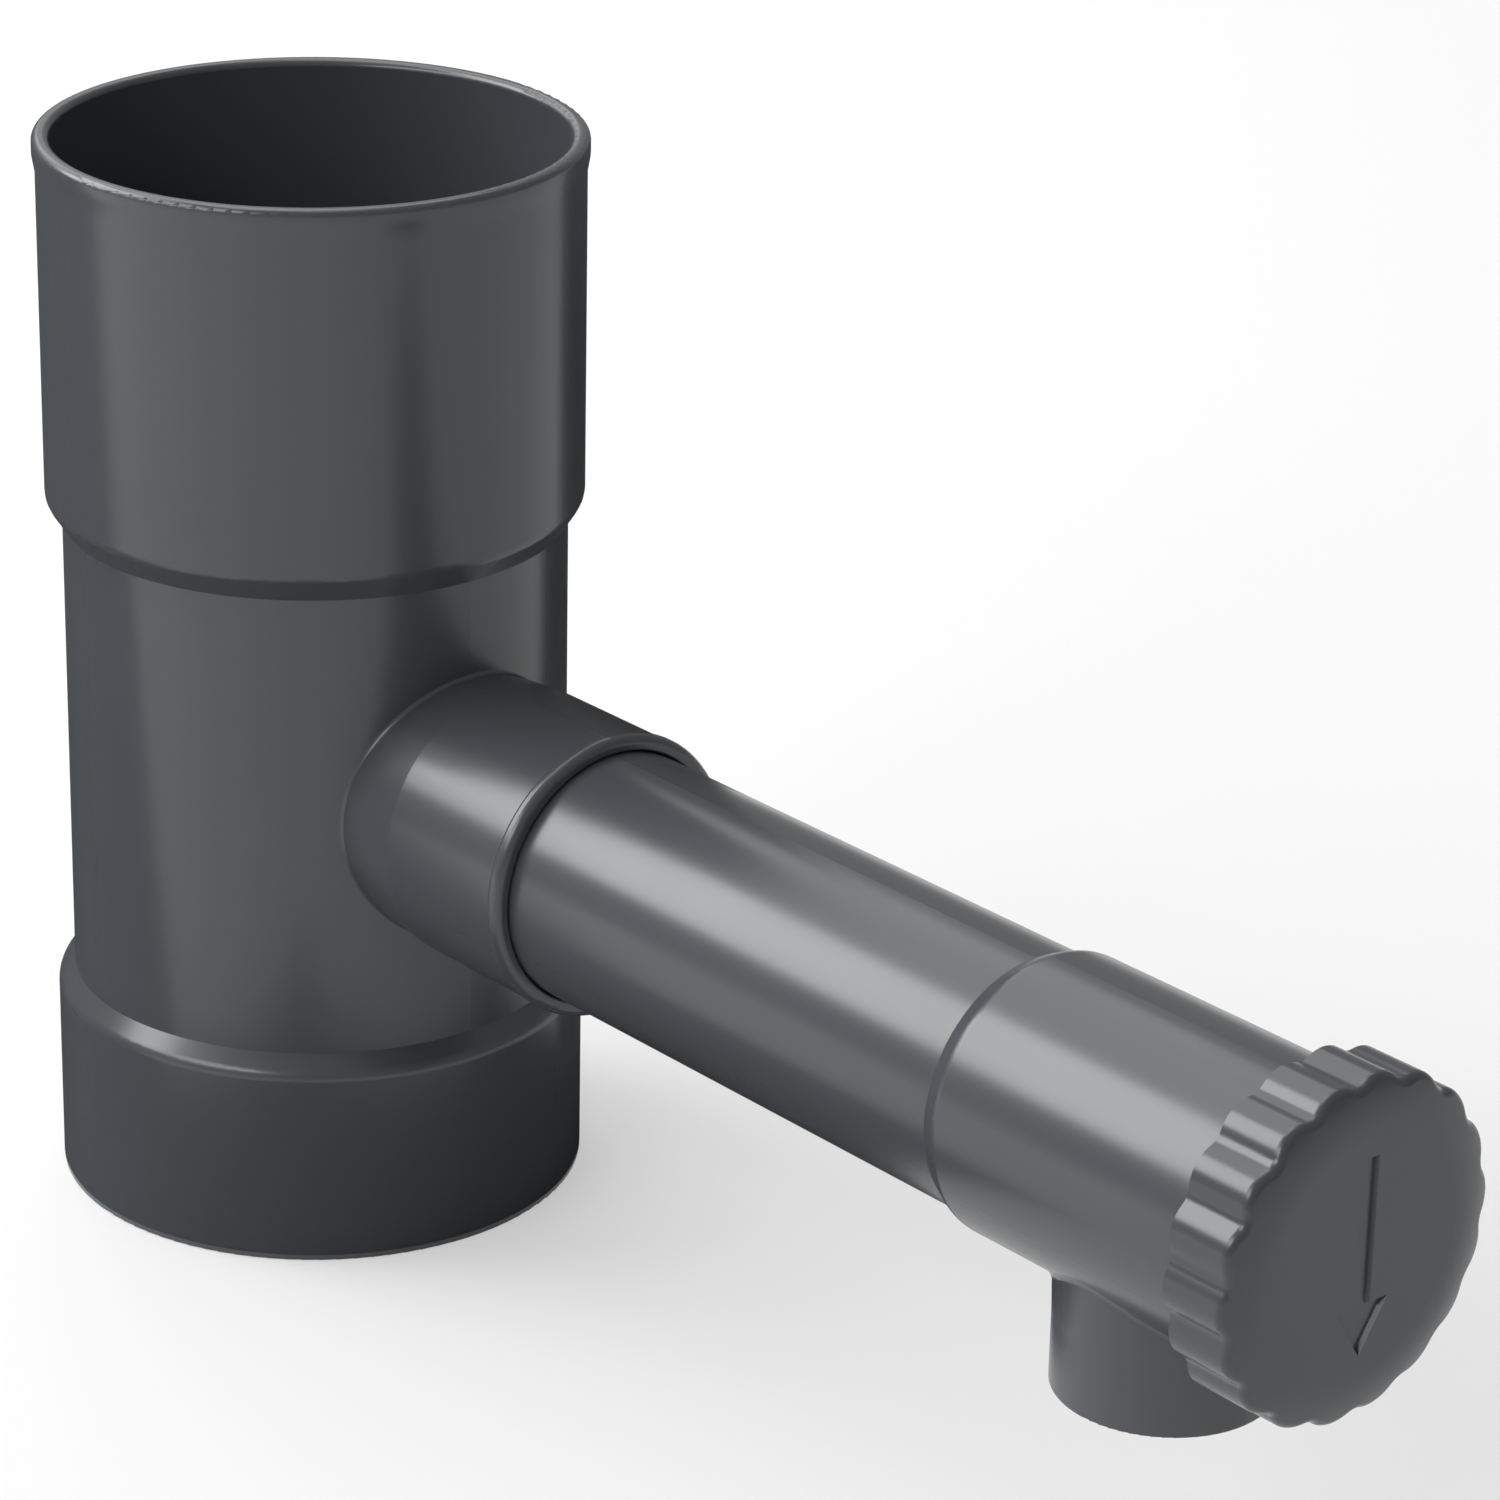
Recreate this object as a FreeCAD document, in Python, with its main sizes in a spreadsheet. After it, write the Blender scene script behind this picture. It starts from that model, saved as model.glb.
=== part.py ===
import FreeCAD, Part
import math
import os

import Sketcher

# Rainwater diverter for an 80 mm downpipe. The origin is the centre of the
# bottom socket's rim, +Z is up the downpipe and +X runs out along the arm.

# Driving sizes in millimetres, apart from the counts and the angle.
SIZES = (
    # Downpipe body.
    ("height", "174.0"),
    ("branch_share", "0.5079"),
    ("pipe_radius", "40.0"),
    ("pipe_wall", "2.2"),
    ("socket_play", "0.3"),
    ("socket_wall", "2.35"),
    ("top_socket_depth", "56.0"),
    ("bottom_socket_depth", "30.0"),
    ("seat_thickness", "2.5"),
    ("top_shoulder", "4.0"),
    ("bottom_shoulder", "2.8"),
    ("lip_rise", "0.45"),
    ("lip_height", "3.0"),
    ("lip_slope", "2.6"),
    ("rim_round", "1.1"),
    ("shoulder_bend", "3.0"),
    # Branch socket on the body's side.
    ("neck_wall", "1.8"),
    ("neck_length", "8.0"),
    ("neck_root", "10.0"),
    ("neck_round", "0.6"),
    ("crease_lead", "12.0"),
    ("branch_wall", "2.15"),
    ("branch_play", "0.2"),
    ("branch_socket_depth", "29.1"),
    ("branch_seat", "2.0"),
    ("bead_rise", "0.3"),
    ("bead_width", "2.4"),
    ("bead_round", "1.4"),
    ("mouth_round", "0.4"),
    # Arm with its sleeve and outlet.
    ("arm_radius", "20.0"),
    ("arm_wall", "1.8"),
    ("outlet_x", "196.3"),
    ("outlet_radius", "16.0"),
    ("outlet_wall", "1.8"),
    ("outlet_drop", "34.3"),
    ("outlet_seat", "23.6"),
    ("outlet_draft", "0.6"),
    ("outlet_blend", "1.5"),
    ("outlet_round", "0.5"),
    ("sleeve_rise", "1.4"),
    ("sleeve_back", "29.1"),
    ("sleeve_front", "31.2"),
    ("shoulder_length", "3.0"),
    ("shoulder_round", "3.0"),
    # Turning knob.
    ("knob_radius", "25.5"),
    ("lobe_radius", "5.5"),
    ("lobe_count", "18"),
    ("lobe_turn", "3.5"),
    ("valley_round", "2.6"),
    ("knob_skirt", "7.8"),
    ("knob_play", "0.4"),
    ("knob_face", "3.9"),
    ("knob_edge_round", "1.5"),
    ("crown_start", "17.5"),
    ("crown_fall", "1.7"),
    ("skirt_wall", "1.6"),
    ("arrow_depth", "0.7"),
    ("arrow_slope", "25.0"),
    ("arrow_top", "14.5"),
    ("arrow_neck", "7.3"),
    ("arrow_tip", "15.0"),
    ("arrow_shaft", "3.1"),
    ("arrow_head", "10.0"),
    # Knob's hub, with the ring in its groove, and the scoop on it.
    ("running_play", "0.08"),
    ("hub_length", "13.9"),
    ("hub_wall", "3.9"),
    ("plug_length", "4.0"),
    ("plug_play", "0.05"),
    ("ring_section", "1.0"),
    ("ring_play", "0.05"),
    ("ring_side_play", "0.3"),
    ("ring_setback", "5.9"),
    ("scoop_play", "0.5"),
    ("scoop_wall", "1.6"),
    ("scoop_reach_play", "0.6"),
    ("gutter_stop", "0.8"),
    ("journal_start", "52.0"),
    ("journal_width", "8.0"),
    ("port_radius", "12.5"),
)

FULL_TURN = 360.0
CUT_OVERRUN = 2.0
ON_EDGE = 0.01

doc = FreeCAD.newDocument("diverter")


class Length:
    """A length as a formula on the sheet, with the value that it has now."""

    def __init__(self, text, value):
        self.text = text
        self.value = value

    def _with(self, sign, other, value):
        return Length("(%s %s %s)" % (self.text, sign, other.text), value)

    def __add__(self, other):
        other = as_length(other)
        return self._with("+", other, self.value + other.value)

    def __sub__(self, other):
        other = as_length(other)
        return self._with("-", other, self.value - other.value)

    def __mul__(self, other):
        other = as_length(other)
        return self._with("*", other, self.value * other.value)

    def __truediv__(self, other):
        other = as_length(other)
        return self._with("/", other, self.value / other.value)

    def __neg__(self):
        return Length("(0 - %s)" % self.text, -self.value)

    def root(self):
        return Length("sqrt(%s)" % self.text, math.sqrt(self.value))

    def cosine(self):
        return Length("cos(%s * 1 deg)" % self.text, math.cos(math.radians(self.value)))

    def sine(self):
        return Length("sin(%s * 1 deg)" % self.text, math.sin(math.radians(self.value)))


def as_length(number):
    """A plain number becomes a length; a length stays as it is."""
    if isinstance(number, Length):
        return number
    return Length(repr(float(number)), float(number))


ZERO = as_length(0)


def make_sheet():
    """The sheet of driving sizes, and each size by its name."""
    sheet = doc.addObject("Spreadsheet::Sheet", "sizes")
    for row, (name, text) in enumerate(SIZES, start=1):
        sheet.set("A%d" % row, name)
        sheet.set("B%d" % row, text)
        sheet.setAlias("B%d" % row, name)
    doc.recompute()
    return {name: Length("sizes." + name, float(sheet.get(name))) for name, _ in SIZES}


S = make_sheet()

# Lengths that several pieces share. The branch stands on the free stretch of
# pipe between the two sockets' shoulders.
SOCKET_BORE = S["pipe_radius"] + S["socket_play"]
SOCKET_OUTER = SOCKET_BORE + S["socket_wall"]
LOWER_END = S["bottom_socket_depth"] + S["seat_thickness"]
UPPER_END = S["height"] - S["top_socket_depth"] - S["seat_thickness"]
FREE_START = LOWER_END + S["bottom_shoulder"]
FREE_END = UPPER_END - S["top_shoulder"]
BRANCH_HEIGHT = FREE_START + (FREE_END - FREE_START) * S["branch_share"]
PIPE_BORE = S["pipe_radius"] - S["pipe_wall"]
ARM_BORE = S["arm_radius"] - S["arm_wall"]
BRANCH_BORE = S["arm_radius"] + S["branch_play"]
BRANCH_OUTER = BRANCH_BORE + S["branch_wall"]
NECK_OUTER = ARM_BORE + S["neck_wall"]
CREASE_X = S["pipe_radius"] + S["neck_length"]
ARM_SEAT_X = CREASE_X - S["branch_seat"]
BRANCH_END_X = ARM_SEAT_X + S["branch_socket_depth"]
SLEEVE_RADIUS = S["arm_radius"] + S["sleeve_rise"]
SLEEVE_START_X = S["outlet_x"] - S["sleeve_back"]
SLEEVE_END_X = S["outlet_x"] + S["sleeve_front"]
KNOB_BACK_X = SLEEVE_END_X - S["knob_skirt"]
KNOB_INNER_X = SLEEVE_END_X + S["knob_play"]
KNOB_FACE_X = KNOB_INNER_X + S["knob_face"]
HUB_RADIUS = ARM_BORE - S["running_play"]
HUB_BACK_X = KNOB_INNER_X - S["hub_length"]
SCOOP_RADIUS = ARM_BORE - S["scoop_play"]
SCOOP_BORE = SCOOP_RADIUS - S["scoop_wall"]
RING_X = KNOB_INNER_X - S["ring_setback"]
RING_GROOVE = ARM_BORE - S["ring_play"] - S["ring_section"] * 2


def make_body(label, height=None):
    """An empty piece, with its own axes at a height on the downpipe's axis."""
    body = doc.addObject("PartDesign::Body", label)
    body.Label = label
    if height is not None:
        body.setExpression("Placement.Base.z", height.text)
    return body


def sketch_on(body, name, role, **offsets):
    """A sketch on one of the piece's own planes, moved by the named offsets."""
    sketch = body.newObject("Sketcher::SketchObject", name)
    plane = [item for item in body.Origin.OriginFeatures if item.Role == role][0]
    sketch.AttachmentSupport = [(plane, "")]
    sketch.MapMode = "FlatFace"
    for axis, offset in offsets.items():
        sketch.setExpression("AttachmentOffset.Base." + axis, offset.text)
    return sketch


def hold_point(sketch, item, end, across, up):
    """Tie one point of a sketch to its place, measured from the sketch's origin."""
    for kind, axis, place in (("DistanceX", -2, across), ("DistanceY", -1, up)):
        if place is None:
            continue
        if place is ZERO:
            sketch.addConstraint(Sketcher.Constraint("PointOnObject", item, end, axis))
            continue
        tie = sketch.addConstraint(Sketcher.Constraint(kind, -1, 1, item, end, place.value))
        sketch.setExpression("Constraints[%d]" % tie, place.text)


def outline(sketch, corners, arc=None):
    """A closed outline through the corners.

    arc, where given, is (side, centre across, centre up, held): that side is an
    arc that runs anticlockwise, with one of its centre's places held.
    """
    count = len(corners)
    points = [FreeCAD.Vector(across.value, up.value, 0) for across, up in corners]
    for side in range(count):
        start, end = points[side], points[(side + 1) % count]
        if arc is None or side != arc[0]:
            sketch.addGeometry(Part.LineSegment(start, end), False)
            continue
        centre = FreeCAD.Vector(arc[1].value, arc[2].value, 0)
        first = math.atan2(start.y - centre.y, start.x - centre.x)
        last = math.atan2(end.y - centre.y, end.x - centre.x)
        circle = Part.Circle(centre, FreeCAD.Vector(0, 0, 1), (start - centre).Length)
        sketch.addGeometry(Part.ArcOfCircle(circle, first, last), False)
    for side in range(count):
        after = (side + 1) % count
        sketch.addConstraint(Sketcher.Constraint("Coincident", side, 2, after, 1))
    for side, (across, up) in enumerate(corners):
        hold_point(sketch, side, 1, across, up)
    if arc is not None:
        side, across, up, held = arc
        hold_point(sketch, side, 3, across if held == "across" else None,
                   up if held == "up" else None)


def circle_in(sketch, across, up, radius):
    """A full circle in a sketch."""
    centre = FreeCAD.Vector(across.value, up.value, 0)
    circle = Part.Circle(centre, FreeCAD.Vector(0, 0, 1), radius.value)
    item = sketch.addGeometry(circle, False)
    hold_point(sketch, item, 3, across, up)
    tie = sketch.addConstraint(Sketcher.Constraint("Radius", item, radius.value))
    sketch.setExpression("Constraints[%d]" % tie, radius.text)


def turned(body, name, corners, axis, cut=False, arc=None, **offsets):
    """A profile in the XZ plane, moved by the offsets, turned about its own axis."""
    sketch = sketch_on(body, name + "_profile", "XZ_Plane", **offsets)
    outline(sketch, corners, arc)
    kind = "PartDesign::Groove" if cut else "PartDesign::Revolution"
    feature = body.newObject(kind, name)
    feature.Profile = sketch
    feature.ReferenceAxis = (sketch, [axis])
    feature.Angle = FULL_TURN
    return feature


def pushed(body, name, sketch, length, cut=False, backwards=False):
    """A sketch padded, or pocketed where cut is set, over a length.

    A pad runs along the sketch's normal and a pocket against it, unless
    backwards is set.
    """
    kind = "PartDesign::Pocket" if cut else "PartDesign::Pad"
    feature = body.newObject(kind, name)
    feature.Profile = sketch
    feature.setExpression("Length", length.text)
    feature.Reversed = backwards
    return feature


def rounded(body, name, wanted, radius):
    """A fillet on each edge of the piece so far that is wanted."""
    doc.recompute()
    base = body.Tip
    edges = ["Edge%d" % number
             for number, edge in enumerate(base.Shape.Edges, start=1) if wanted(edge)]
    if not edges:
        raise RuntimeError("no edge found for " + name)
    fillet = body.newObject("PartDesign::Fillet", name)
    fillet.Base = (base, edges)
    fillet.setExpression("Radius", radius.text)
    return fillet


def near(first, second):
    """Whether two numbers are the same place on the piece."""
    return abs(first - second) < ON_EDGE


def ring_edge(direction, place, radius):
    """A test for round edges about an axis, at a place along it."""
    def wanted(edge):
        curve = edge.Curve
        if not isinstance(curve, Part.Circle) or not near(curve.Radius, radius.value):
            return False
        return near(getattr(curve.Center, direction), place.value)
    return wanted


def is_seam(edge):
    """Whether an edge is a curve where two round forms meet."""
    return not isinstance(edge.Curve, (Part.Circle, Part.Line))


def make_downpipe_body():
    """Pipe with a socket at each end and the branch socket, as one moulding."""
    body = make_body("body")
    lip_outer = SOCKET_OUTER + S["lip_rise"]
    lip_low = S["height"] - S["lip_height"]
    turned(body, "pipe_and_sockets", (
        (ZERO, ZERO),
        (SOCKET_OUTER, ZERO),
        (SOCKET_OUTER, LOWER_END),
        (S["pipe_radius"], FREE_START),
        (S["pipe_radius"], FREE_END),
        (SOCKET_OUTER, UPPER_END),
        (SOCKET_OUTER, lip_low - S["lip_slope"]),
        (lip_outer, lip_low),
        (lip_outer, S["height"]),
        (ZERO, S["height"]),
    ), "V_Axis")
    add_branch_socket(body)
    rounded(body, "neck_blend", is_seam, S["neck_round"])
    rounded(body, "rim_outer_round", ring_edge("z", S["height"], lip_outer), S["rim_round"])
    rounded(body, "bottom_round", ring_edge("z", ZERO, SOCKET_OUTER), S["mouth_round"])
    rounded(body, "lower_shoulder_bend", ring_edge("z", LOWER_END, SOCKET_OUTER),
            S["shoulder_bend"])
    rounded(body, "upper_shoulder_bend", ring_edge("z", UPPER_END, SOCKET_OUTER),
            S["shoulder_bend"])
    rounded(body, "bead_round", ring_edge("x", BRANCH_END_X, BRANCH_OUTER + S["bead_rise"]),
            S["bead_round"])
    cut_body_bores(body)
    rounded(body, "rim_inner_round", ring_edge("z", S["height"], SOCKET_BORE), S["rim_round"])
    rounded(body, "branch_mouth_round", ring_edge("x", BRANCH_END_X, BRANCH_BORE),
            S["mouth_round"])
    return body


def add_branch_socket(body):
    """Branch socket with a bead at its mouth, bent in towards the pipe at its root."""
    bead_start = BRANCH_END_X - S["bead_width"]
    bead_outer = BRANCH_OUTER + S["bead_rise"]
    neck_start = S["pipe_radius"] - S["neck_root"]
    run = CREASE_X - neck_start
    rise = BRANCH_OUTER - NECK_OUTER
    reach = run * run + run * S["crease_lead"] * 2
    bend_centre = (BRANCH_OUTER + NECK_OUTER) / 2 - reach / (rise * 2)
    turned(body, "branch_socket", (
        (ZERO, ZERO),
        (BRANCH_END_X, ZERO),
        (BRANCH_END_X, bead_outer),
        (bead_start + S["bead_rise"] * 2, bead_outer),
        (bead_start, BRANCH_OUTER),
        (CREASE_X, BRANCH_OUTER),
        (neck_start, NECK_OUTER),
        (ZERO, NECK_OUTER),
    ), "H_Axis", arc=(5, CREASE_X + S["crease_lead"], bend_centre, "across"), y=BRANCH_HEIGHT)


def cut_body_bores(body):
    """Stepped bore of the pipe with its two seats, and the branch's bore."""
    turned(body, "pipe_bore", (
        (ZERO, ZERO),
        (SOCKET_BORE, ZERO),
        (SOCKET_BORE, S["bottom_socket_depth"]),
        (PIPE_BORE, S["bottom_socket_depth"]),
        (PIPE_BORE, S["height"] - S["top_socket_depth"]),
        (SOCKET_BORE, S["height"] - S["top_socket_depth"]),
        (SOCKET_BORE, S["height"]),
        (ZERO, S["height"]),
    ), "V_Axis", cut=True)
    turned(body, "branch_bore", (
        (ZERO, ZERO),
        (ZERO, ARM_BORE),
        (ARM_SEAT_X, ARM_BORE),
        (ARM_SEAT_X, BRANCH_BORE),
        (BRANCH_END_X, BRANCH_BORE),
        (BRANCH_END_X, ZERO),
    ), "H_Axis", cut=True, y=BRANCH_HEIGHT)


def make_outlet_arm():
    """Arm, sleeve and outlet, as one moulding."""
    body = make_body("outlet_arm", BRANCH_HEIGHT)
    turned(body, "arm_and_sleeve", (
        (ARM_SEAT_X, ZERO),
        (ARM_SEAT_X, S["arm_radius"]),
        (SLEEVE_START_X, S["arm_radius"]),
        (SLEEVE_START_X + S["shoulder_length"], SLEEVE_RADIUS),
        (SLEEVE_END_X, SLEEVE_RADIUS),
        (SLEEVE_END_X, ZERO),
    ), "H_Axis")
    turned(body, "outlet", (
        (ZERO, ZERO),
        (ZERO, -S["outlet_drop"]),
        (S["outlet_radius"], -S["outlet_drop"]),
        (S["outlet_radius"], -S["outlet_seat"]),
        (S["outlet_radius"] + S["outlet_draft"], ZERO),
    ), "V_Axis", x=S["outlet_x"])
    rounded(body, "outlet_blend", is_seam, S["outlet_blend"])
    rounded(body, "shoulder_round",
            ring_edge("x", SLEEVE_START_X + S["shoulder_length"], SLEEVE_RADIUS),
            S["shoulder_round"])
    rounded(body, "outlet_rim_round",
            ring_edge("z", -S["outlet_drop"], S["outlet_radius"]), S["outlet_round"])
    turned(body, "arm_bore", (
        (ARM_SEAT_X, ZERO),
        (ARM_SEAT_X, ARM_BORE),
        (SLEEVE_END_X, ARM_BORE),
        (SLEEVE_END_X, ZERO),
    ), "H_Axis", cut=True)
    hole = sketch_on(body, "outlet_bore_section", "XY_Plane", z=-S["outlet_drop"])
    circle_in(hole, S["outlet_x"], ZERO, S["outlet_radius"] - S["outlet_wall"])
    pushed(body, "outlet_bore", hole, S["outlet_drop"], cut=True, backwards=True)
    return body


def make_scoop():
    """Tube that is a half-round gutter inside the downpipe, with a port below."""
    body = make_body("scoop", BRANCH_HEIGHT)
    inside = PIPE_BORE * PIPE_BORE - SCOOP_RADIUS * SCOOP_RADIUS
    tip = -(inside.root() - S["scoop_reach_play"])
    journal_end = S["journal_start"] + S["journal_width"]
    turned(body, "tube", (
        (tip, ZERO),
        (tip, SCOOP_RADIUS),
        (S["journal_start"], SCOOP_RADIUS),
        (S["journal_start"], HUB_RADIUS),
        (journal_end, HUB_RADIUS),
        (journal_end, SCOOP_RADIUS),
        (HUB_BACK_X, SCOOP_RADIUS),
        (HUB_BACK_X, SCOOP_BORE),
        (tip + S["scoop_wall"], SCOOP_BORE),
        (tip + S["scoop_wall"], ZERO),
    ), "H_Axis")
    mouth = sketch_on(body, "gutter_mouth_plan", "XY_Plane")
    side = SCOOP_RADIUS + CUT_OVERRUN
    gutter_end = PIPE_BORE - S["gutter_stop"]
    outline(mouth, (
        (tip - CUT_OVERRUN, -side),
        (gutter_end, -side),
        (gutter_end, side),
        (tip - CUT_OVERRUN, side),
    ))
    pushed(body, "gutter_mouth", mouth, side, cut=True, backwards=True)
    port = sketch_on(body, "port_plan", "XY_Plane")
    circle_in(port, S["outlet_x"], ZERO, S["port_radius"])
    pushed(body, "port", port, side, cut=True)
    return body


def is_valley(edge):
    """Whether an edge runs along the knob, where two lobes meet."""
    if not isinstance(edge.Curve, Part.Line):
        return False
    along = edge.Vertexes[-1].Point - edge.Vertexes[0].Point
    return abs(along.x) > ON_EDGE and math.hypot(along.y, along.z) < ON_EDGE


def make_knob():
    """Fluted cap with an arrow, and the hub that turns in the arm."""
    body = make_body("knob", BRANCH_HEIGHT)
    depth = KNOB_FACE_X - KNOB_BACK_X
    skirt_bore = SLEEVE_RADIUS + S["knob_play"]
    core = sketch_on(body, "core_section", "YZ_Plane", z=KNOB_BACK_X)
    circle_in(core, ZERO, ZERO, skirt_bore + S["skirt_wall"])
    pushed(body, "core", core, depth)
    lobe_centre = S["knob_radius"] - S["lobe_radius"]
    lobe_plan = sketch_on(body, "lobe_section", "YZ_Plane", z=KNOB_BACK_X)
    circle_in(lobe_plan, lobe_centre * S["lobe_turn"].cosine(),
              lobe_centre * S["lobe_turn"].sine(), S["lobe_radius"])
    lobe = pushed(body, "lobe", lobe_plan, depth)
    lobes = body.newObject("PartDesign::PolarPattern", "lobes")
    lobes.Originals = [lobe]
    lobes.Axis = (lobe_plan, ["N_Axis"])
    lobes.Angle = FULL_TURN
    lobes.setExpression("Occurrences", S["lobe_count"].text)
    body.Tip = lobes
    rounded(body, "valleys", is_valley, S["valley_round"])
    add_crown(body)
    rounded(body, "front_round", at_crown_edge, S["knob_edge_round"])
    turned(body, "skirt_bore", (
        (KNOB_BACK_X, ZERO),
        (KNOB_BACK_X, skirt_bore),
        (KNOB_INNER_X, skirt_bore),
        (KNOB_INNER_X, ZERO),
    ), "H_Axis", cut=True)
    add_hub(body)
    cut_arrow(body)
    return body


def add_crown(body):
    """Gentle fall of the knob's face towards its edge."""
    reach = S["knob_radius"] - S["crown_start"]
    bend = (reach * reach + S["crown_fall"] * S["crown_fall"]) / (S["crown_fall"] * 2)
    turned(body, "crown", (
        (KNOB_FACE_X, S["crown_start"]),
        (KNOB_FACE_X - S["crown_fall"], S["knob_radius"]),
        (KNOB_FACE_X - S["crown_fall"], S["knob_radius"] + CUT_OVERRUN),
        (KNOB_FACE_X + CUT_OVERRUN, S["knob_radius"] + CUT_OVERRUN),
        (KNOB_FACE_X + CUT_OVERRUN, S["crown_start"]),
    ), "H_Axis", cut=True, arc=(0, KNOB_FACE_X - bend, S["crown_start"], "up"))


def at_crown_edge(edge):
    """Whether an edge lies where the crown meets the lobes."""
    fall = S["crown_fall"].value
    depths = [KNOB_FACE_X.value - point.Point.x for point in edge.Vertexes]
    return all(fall / 8 < depth < fall * 1.1 for depth in depths)


def add_hub(body):
    """Hollow hub with the seal's groove, and the plug that the scoop sits on."""
    plug_radius = SCOOP_BORE - S["plug_play"]
    hub_bore = HUB_RADIUS - S["hub_wall"]
    plug_x = HUB_BACK_X - S["plug_length"]
    groove_half = S["ring_section"] + S["ring_side_play"]
    turned(body, "hub", (
        (KNOB_INNER_X, hub_bore),
        (KNOB_INNER_X, HUB_RADIUS),
        (RING_X + groove_half, HUB_RADIUS),
        (RING_X + groove_half, RING_GROOVE),
        (RING_X - groove_half, RING_GROOVE),
        (RING_X - groove_half, HUB_RADIUS),
        (HUB_BACK_X, HUB_RADIUS),
        (HUB_BACK_X, plug_radius),
        (plug_x, plug_radius),
        (plug_x, hub_bore),
    ), "H_Axis")


def cut_arrow(body):
    """Arrow sunk in the knob's face; it points the way the water goes."""
    half_shaft = S["arrow_shaft"] / 2
    half_head = S["arrow_head"] / 2
    plan = sketch_on(body, "arrow_plan", "YZ_Plane", z=KNOB_FACE_X)
    outline(plan, (
        (-half_shaft, S["arrow_top"]),
        (-half_shaft, -S["arrow_neck"]),
        (-half_head, -S["arrow_neck"]),
        (ZERO, -S["arrow_tip"]),
        (half_head, -S["arrow_neck"]),
        (half_shaft, -S["arrow_neck"]),
        (half_shaft, S["arrow_top"]),
    ))
    arrow = pushed(body, "arrow", plan, S["arrow_depth"], cut=True)
    arrow.setExpression("TaperAngle", (-S["arrow_slope"]).text)


def make_seal_ring():
    """Round-section ring in the hub's groove."""
    ring = doc.addObject("Part::Torus", "seal_ring")
    ring.Label = "seal_ring"
    ring.setExpression("Radius1", (RING_GROOVE + S["ring_section"]).text)
    ring.setExpression("Radius2", S["ring_section"].text)
    ring.Placement = FreeCAD.Placement(
        FreeCAD.Vector(0, 0, 0), FreeCAD.Rotation(FreeCAD.Vector(0, 1, 0), 90))
    ring.setExpression("Placement.Base.x", RING_X.text)
    ring.setExpression("Placement.Base.z", BRANCH_HEIGHT.text)
    return ring


def check_and_write(pieces):
    """Stop on anything that failed, then write each piece to its own file."""
    doc.recompute()
    failed = [item.Name for item in doc.Objects
              if "Invalid" in item.State or "Error" in item.State]
    if failed:
        raise RuntimeError("failed: " + ", ".join(failed))
    os.makedirs("parts", exist_ok=True)
    for piece in pieces:
        shape = piece.Shape
        if shape.isNull() or not shape.isValid():
            raise RuntimeError("bad shape: " + piece.Label)
        shape.exportStep("parts/%s.step" % piece.Label)
        box = shape.BoundBox
        print("%s: %d solid, %.1f mm3, x %.2f to %.2f, z %.2f to %.2f" % (
            piece.Label, len(shape.Solids), shape.Volume,
            box.XMin, box.XMax, box.ZMin, box.ZMax))


check_and_write((
    make_downpipe_body(),
    make_outlet_arm(),
    make_scoop(),
    make_knob(),
    make_seal_ring(),
))
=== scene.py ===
"""Looks of the rainwater diverter: finishes, moulding marks, studio and camera.

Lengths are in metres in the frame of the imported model: +Z runs up the downpipe,
+X out along the arm, and the origin is the centre of the bottom socket's rim.
"""

import logging
import math
from dataclasses import dataclass, field
from enum import Enum
from typing import Any

import bpy
from mathutils import Matrix, Vector

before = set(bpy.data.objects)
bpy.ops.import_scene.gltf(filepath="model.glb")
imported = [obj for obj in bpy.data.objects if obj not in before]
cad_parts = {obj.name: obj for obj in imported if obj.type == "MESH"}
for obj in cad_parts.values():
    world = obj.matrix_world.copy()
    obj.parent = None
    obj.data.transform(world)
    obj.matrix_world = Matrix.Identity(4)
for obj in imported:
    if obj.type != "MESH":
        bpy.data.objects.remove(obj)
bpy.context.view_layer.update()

MM = 0.001

log = logging.getLogger("diverter")


class ShadeTone(Enum):
    """Colours of the dark cards that paint shade into the plastic's reflections, as sRGB hex."""

    GREY = "606060"
    BLACK = "383838"


def linear(hex_colour: str) -> tuple[float, float, float, float]:
    """Turn an sRGB hex colour into the linear colour that a shader takes.

    Args:
        hex_colour: Six hex digits, such as "54585C".

    Returns:
        Red, green, blue and an alpha of 1, all linear.
    """
    parts = [int(hex_colour[i:i + 2], 16) / 255 for i in (0, 2, 4)]
    flat = [c / 12.92 if c <= 0.04045 else ((c + 0.055) / 1.055) ** 2.4 for c in parts]
    return (flat[0], flat[1], flat[2], 1.0)


def add_node(tree: bpy.types.NodeTree, kind: str, settings: dict[str, Any] | None = None,
             links: dict[Any, Any] | None = None, **values: Any) -> bpy.types.Node:
    """Add one node with its settings and the links into it.

    Args:
        tree: The node tree to add to.
        kind: The node's type name, such as "ShaderNodeBump".
        settings: Values of the node's own properties.
        links: Input name or number to the output socket that feeds it.
        **values: Input name, with _ for a space, to its fixed value.

    Returns:
        The new node.
    """
    node = tree.nodes.new(kind)
    for name, value in (settings or {}).items():
        setattr(node, name, value)
    for name, value in values.items():
        node.inputs[name.replace("_", " ")].default_value = value
    for name, socket in (links or {}).items():
        tree.links.new(socket, node.inputs[name])
    return node


def new_material(name: str) -> tuple[bpy.types.Material, bpy.types.NodeTree]:
    """Make an empty node material.

    Args:
        name: The material's name.

    Returns:
        The material and its emptied tree.
    """
    material = bpy.data.materials.new(name)
    material.use_nodes = True
    material.node_tree.nodes.clear()
    return material, material.node_tree


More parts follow.
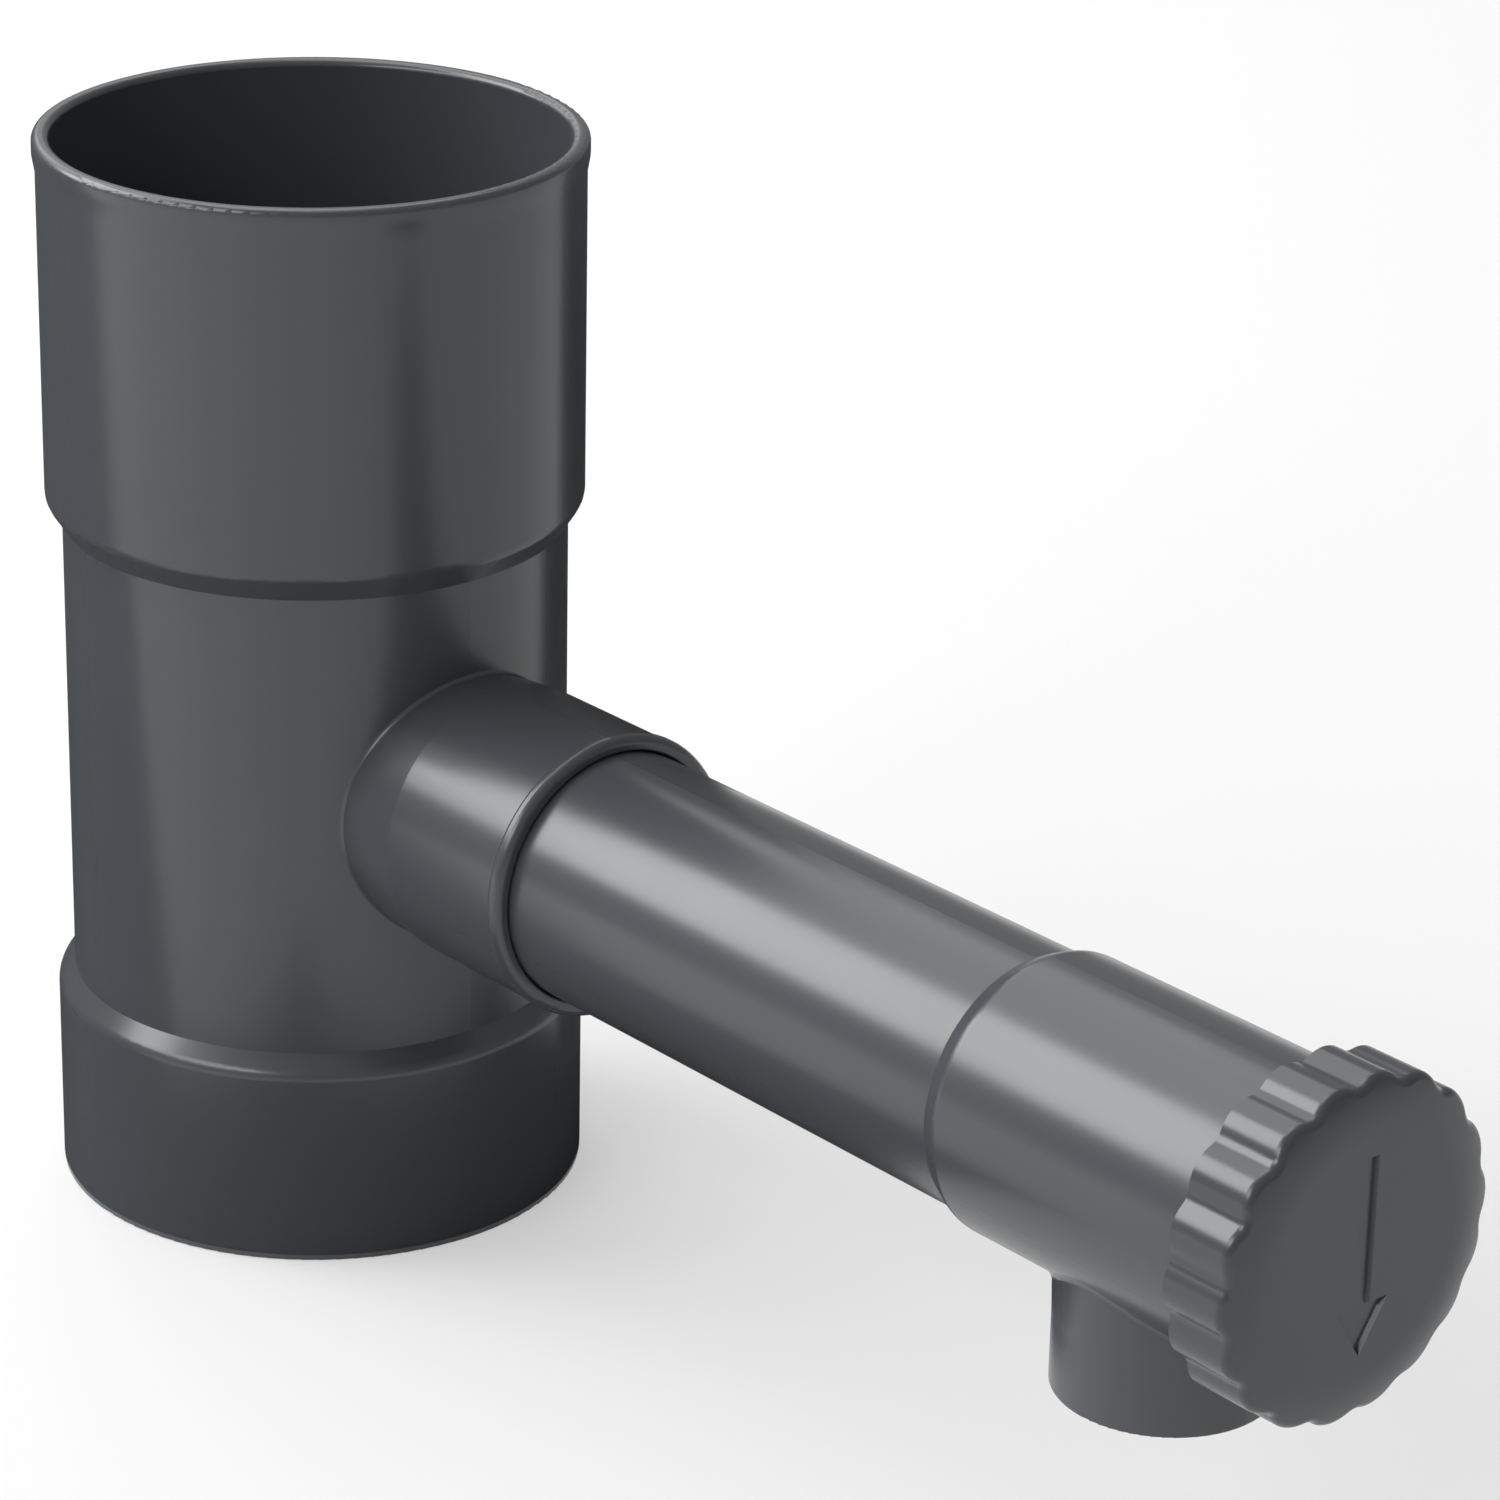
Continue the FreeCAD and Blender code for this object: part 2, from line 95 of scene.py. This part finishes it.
@dataclass(frozen=True)
class MouldedPvc:
    """Rigid PVC, injection moulded and left satin.

    To the eye: an even dark grey with a faint cloudiness from the melt's flow,
    a soft gloss, and a very shallow ripple that breaks up long highlights.
    """

    name: str
    colour: str = "424549"
    cloud_colour: str = "3E4144"
    roughness: float = 0.25
    roughness_swing: float = 0.05
    ior: float = 1.55
    cloud_mm: float = 38.0
    ripple_mm: float = 16.0
    ripple_depth_mm: float = 0.012
    grain_mm: float = 0.9
    grain_depth_mm: float = 0.0008

    def material(self) -> bpy.types.Material:
        """Build the finish as a node material."""
        material, tree = new_material(self.name)
        place = add_node(tree, "ShaderNodeTexCoord").outputs["Object"]
        cloud = add_node(tree, "ShaderNodeTexNoise", links={"Vector": place},
                         Scale=1 / (self.cloud_mm * MM), Detail=3.0, Roughness=0.55)
        mix = add_node(tree, "ShaderNodeMix", {"data_type": "RGBA"},
                       {0: cloud.outputs["Fac"]})
        mix.inputs[6].default_value = linear(self.colour)
        mix.inputs[7].default_value = linear(self.cloud_colour)
        grain = add_node(tree, "ShaderNodeTexNoise", links={"Vector": place},
                         Scale=1 / (self.grain_mm * MM), Detail=2.0)
        rough = add_node(tree, "ShaderNodeMapRange", links={"Value": cloud.outputs["Fac"]})
        rough.inputs["To Min"].default_value = self.roughness - self.roughness_swing
        rough.inputs["To Max"].default_value = self.roughness + self.roughness_swing
        ripple = add_node(tree, "ShaderNodeTexNoise", links={"Vector": place},
                          Scale=1 / (self.ripple_mm * MM), Detail=1.0)
        wave = add_node(tree, "ShaderNodeBump", links={"Height": ripple.outputs["Fac"]},
                        Strength=1.0, Distance=self.ripple_depth_mm * MM)
        bump = add_node(tree, "ShaderNodeBump",
                        links={"Height": grain.outputs["Fac"], "Normal": wave.outputs["Normal"]},
                        Strength=1.0, Distance=self.grain_depth_mm * MM)
        shader = add_node(tree, "ShaderNodeBsdfPrincipled", links={
            "Base Color": mix.outputs[2],
            "Roughness": rough.outputs["Result"],
            "Normal": bump.outputs["Normal"],
        }, IOR=self.ior)
        add_node(tree, "ShaderNodeOutputMaterial", links={"Surface": shader.outputs["BSDF"]})
        return material


@dataclass(frozen=True)
class MouldedRubber:
    """Nitrile rubber, moulded: near black, with a soft wide sheen."""

    name: str
    colour: str = "1C1C1D"
    roughness: float = 0.5
    ior: float = 1.52
    grain_mm: float = 0.5
    grain_depth_mm: float = 0.004

    def material(self) -> bpy.types.Material:
        """Build the finish as a node material."""
        material, tree = new_material(self.name)
        place = add_node(tree, "ShaderNodeTexCoord").outputs["Object"]
        grain = add_node(tree, "ShaderNodeTexNoise", links={"Vector": place},
                         Scale=1 / (self.grain_mm * MM), Detail=2.0)
        bump = add_node(tree, "ShaderNodeBump", links={"Height": grain.outputs["Fac"]},
                        Strength=1.0, Distance=self.grain_depth_mm * MM)
        shader = add_node(tree, "ShaderNodeBsdfPrincipled",
                          links={"Normal": bump.outputs["Normal"]},
                          Base_Color=linear(self.colour), Roughness=self.roughness, IOR=self.ior)
        add_node(tree, "ShaderNodeOutputMaterial", links={"Surface": shader.outputs["BSDF"]})
        return material


@dataclass(frozen=True)
class EvenShading:
    """Smooth shading for the body's upright rings, its two sockets and their shoulders.

    The stretch with the side branch is left as it is, for the crease of the
    branch's neck is a shallow one and smoothing would lose it.
    """

    reach_mm: float = 44.0
    branch_from_mm: float = 35.0
    branch_to_mm: float = 112.0
    join_within: float = 1e-6
    big_face_weight: int = 50

    def _on_ring(self, point: Vector) -> bool:
        """Say whether a point of the mesh lies on one of the rings.

        Args:
            point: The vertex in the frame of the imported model, in metres.

        Returns:
            True above and below the stretch with the branch.
        """
        beside_branch = self.branch_from_mm * MM < point.z < self.branch_to_mm * MM
        return abs(point.x) < self.reach_mm * MM and not beside_branch

    def apply(self, piece: bpy.types.Object) -> None:
        """Add the modifiers that join the CAD's faces and even out their normals.

        Args:
            piece: The CAD node's object.
        """
        rings = piece.vertex_groups.new(name="upright_rings")
        members = [v.index for v in piece.data.vertices if self._on_ring(v.co)]
        rings.add(members, 1.0, "REPLACE")
        weld = piece.modifiers.new("joined_faces", "WELD")
        weld.merge_threshold = self.join_within
        weld.vertex_group = rings.name
        even = piece.modifiers.new("even_normals", "WEIGHTED_NORMAL")
        even.mode = "FACE_AREA_WITH_ANGLE"
        even.weight = self.big_face_weight
        even.vertex_group = rings.name


def dress(node: str, finish: MouldedPvc | MouldedRubber) -> None:
    """Give a CAD node its finish.

    Args:
        node: The node's name.
        finish: The finish to build and assign.
    """
    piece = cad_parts[node]
    material = finish.material()
    if not piece.material_slots:
        piece.data.materials.append(material)
    for slot in piece.material_slots:
        slot.material = material
    log.info("dressed %s with %s", node, finish.name)


@dataclass
class PhotoCamera:
    """The camera of the reference picture, fitted to the object's outlines."""

    place_mm: tuple[float, float, float] = (664.70, -486.07, 411.49)
    right: tuple[float, float, float] = (0.6501188, 0.7595768, 0.0197132)
    up: tuple[float, float, float] = (-0.3023557, 0.2348093, 0.9238212)
    lens_mm: float = 132.06
    sensor_mm: float = 36.0
    near: float = 0.05
    far: float = 30.0

    def build(self) -> None:
        """Add the camera and make it the scene's."""
        data = bpy.data.cameras.new("photo_camera")
        data.lens = self.lens_mm
        data.sensor_width = self.sensor_mm
        data.clip_start = self.near
        data.clip_end = self.far
        camera = bpy.data.objects.new("photo_camera", data)
        right = Vector(self.right).normalized()
        up = Vector(self.up).normalized()
        back = right.cross(up)
        turn = Matrix((right, up, back)).transposed().to_4x4()
        camera.matrix_world = Matrix.Translation(Vector(self.place_mm) * MM) @ turn
        bpy.context.scene.collection.objects.link(camera)
        bpy.context.scene.camera = camera
        log.info("camera placed")


@dataclass
class Softbox:
    """One flat soft lamp that faces the object."""

    name: str
    place: tuple[float, float, float]
    facing: tuple[float, float, float]
    width: float
    height: float
    radiance: float

    def build(self) -> None:
        """Add the lamp, its width level and along the X axis as far as it can be."""
        data = bpy.data.lights.new(self.name, "AREA")
        data.shape = "RECTANGLE"
        data.size = self.width
        data.size_y = self.height
        data.energy = self.radiance * math.pi * self.width * self.height
        lamp = bpy.data.objects.new(self.name, data)
        back = -Vector(self.facing).normalized()
        along = (Vector((1, 0, 0)) - back * back.x).normalized()
        over = back.cross(along)
        turn = Matrix((along, over, back)).transposed().to_4x4()
        lamp.matrix_world = Matrix.Translation(self.place) @ turn
        bpy.context.scene.collection.objects.link(lamp)
        log.info("lamp %s", self.name)


@dataclass
class ShadeCard:
    """Dark card seen only in reflections, painted shade on a glossy edge; it stands, leans or
    lies.

    Its place is the middle of its lower edge.
    """

    name: str
    place: tuple[float, float, float]
    turn_deg: float
    width: float
    height: float
    lean_deg: float
    shade_tone: ShadeTone

    def build(self) -> None:
        """Add the card; only reflections show it."""
        across = self.width / 2
        lean = math.radians(self.lean_deg)
        away, up = self.height * math.sin(lean), self.height * math.cos(lean)
        mesh = bpy.data.meshes.new(self.name)
        mesh.from_pydata([(-across, 0, 0), (across, 0, 0), (across, away, up),
                          (-across, away, up)], [], [(0, 1, 2, 3)])
        card = bpy.data.objects.new(self.name, mesh)
        card.location = self.place
        card.rotation_euler.z = math.radians(self.turn_deg)
        bpy.context.scene.collection.objects.link(card)
        # Painted shade: a dark card that only reflections see, so the plastic reflects a dark
        # edge.
        material, tree = new_material("painted_shade_card")
        shader = add_node(tree, "ShaderNodeBsdfDiffuse", Color=linear(self.shade_tone.value))
        add_node(tree, "ShaderNodeOutputMaterial", links={"Surface": shader.outputs["BSDF"]})
        mesh.materials.append(material)
        card.visible_camera = False
        card.visible_diffuse = False
        card.visible_shadow = False
        log.info("flag %s", self.name)


@dataclass
class Studio:
    """White floor, plain pale surroundings, soft lamps, and dark cards that paint shade into
    reflections.

    floor_white is the share of plain white that the camera and reflections see
    in the floor; the rest is the lit board, which keeps the object's shadow.
    """

    floor_side: float = 8.0
    floor_colour: str = "DEDEDE"
    floor_white: float = 0.45
    sky_light: float = 0.34
    lamps: list[Softbox] = field(default_factory=lambda: [
        Softbox("key_softbox", (-2.15, -1.22, 1.52), (0.0, 0.632, -0.775), 2.9, 1.56, 6.6),
        Softbox("fill_softbox", (-0.10, -1.75, 1.22), (0.05, 0.82, -0.57), 1.1, 0.8, 4.2),
        Softbox("top_softbox", (-1.80, 0.50, 2.05), (0.66, -0.20, -0.72), 2.7, 2.5, 1.5),
        Softbox("ceiling_softbox", (-0.40, -0.10, 1.90), (0.2, 0.0, -1.0), 1.1, 1.1, 1.6),
        Softbox("glint_softbox", (0.41, -1.09, 0.74), (-0.16, 0.84, -0.52), 0.26, 0.20, 9.0),
    ])
    shade_cards: list[ShadeCard] = field(default_factory=lambda: [
        # Grey cards seen only in reflections: painted shade on the pipe's glossy edges.
        ShadeCard("left_shade_card", (-0.069, 0.055, 0.002), 110.0, 0.35, 0.26, 40.0, ShadeTone.GREY),
        ShadeCard("back_shade_card", (-0.016, 0.062, 0.002), 0.0, 0.108, 0.17, 0.0, ShadeTone.GREY),
        # Black sheet lying on the floor round the pipe's foot and under the arm, seen only in
        # reflections: painted shadow in the undersides.
        ShadeCard("floor_painted_shadow", (0.020, -0.105, 0.001), 0.0, 0.176, 0.185, 90.0, ShadeTone.BLACK),
    ])

    def build(self) -> None:
        """Add the floor, the world, the lamps and the cards."""
        self._floor()
        self._world()
        for piece in [*self.lamps, *self.shade_cards]:
            piece.build()
        scene = bpy.context.scene
        scene.view_settings.view_transform = "Standard"
        log.info("studio ready")

    def _floor(self) -> None:
        """Add the floor as a wide flat sheet."""
        half = self.floor_side / 2
        mesh = bpy.data.meshes.new("floor")
        mesh.from_pydata([(-half, -half, 0), (half, -half, 0), (half, half, 0),
                          (-half, half, 0)], [], [(0, 1, 2, 3)])
        floor = bpy.data.objects.new("floor", mesh)
        bpy.context.scene.collection.objects.link(floor)
        # Matt painted board: even and without gloss, so it shows only the shadow.
        material, tree = new_material("painted_white_board")
        board = add_node(tree, "ShaderNodeBsdfDiffuse", Color=linear(self.floor_colour))
        white = add_node(tree, "ShaderNodeEmission", Color=(1, 1, 1, 1), Strength=1.0)
        ray = add_node(tree, "ShaderNodeLightPath").outputs
        seen = add_node(tree, "ShaderNodeMath", {"operation": "MAXIMUM"},
                        {0: ray["Is Camera Ray"], 1: ray["Is Glossy Ray"]})
        share = add_node(tree, "ShaderNodeMath", {"operation": "MULTIPLY"},
                         {0: seen.outputs["Value"]})
        share.inputs[1].default_value = self.floor_white
        shader = add_node(tree, "ShaderNodeMixShader", links={
            0: share.outputs["Value"], 1: board.outputs["BSDF"], 2: white.outputs["Emission"]})
        add_node(tree, "ShaderNodeOutputMaterial", links={"Surface": shader.outputs["Shader"]})
        mesh.materials.append(material)

    def _world(self) -> None:
        """Plain pale surroundings."""
        world = bpy.data.worlds.new("pale_room")
        world.use_nodes = True
        tree = world.node_tree
        tree.nodes.clear()
        back = add_node(tree, "ShaderNodeBackground", Color=(1, 1, 1, 1),
                        Strength=self.sky_light)
        add_node(tree, "ShaderNodeOutputWorld", links={"Surface": back.outputs[0]})
        bpy.context.scene.world = world


def main() -> None:
    """Dress the part and build the studio round it."""
    logging.basicConfig(level=logging.INFO, format="%(name)s: %(message)s")
    PhotoCamera().build()
    dress("body", MouldedPvc("satin_pvc_body"))
    EvenShading().apply(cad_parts["body"])
    dress("outlet_arm", MouldedPvc("satin_pvc_arm"))
    dress("scoop", MouldedPvc("satin_pvc_scoop"))
    dress("knob", MouldedPvc("satin_pvc_knob", "3D4044", "393C40"))
    dress("seal_ring", MouldedRubber("nitrile_rubber_ring"))
    Studio().build()


if __name__ == "__main__":
    main()
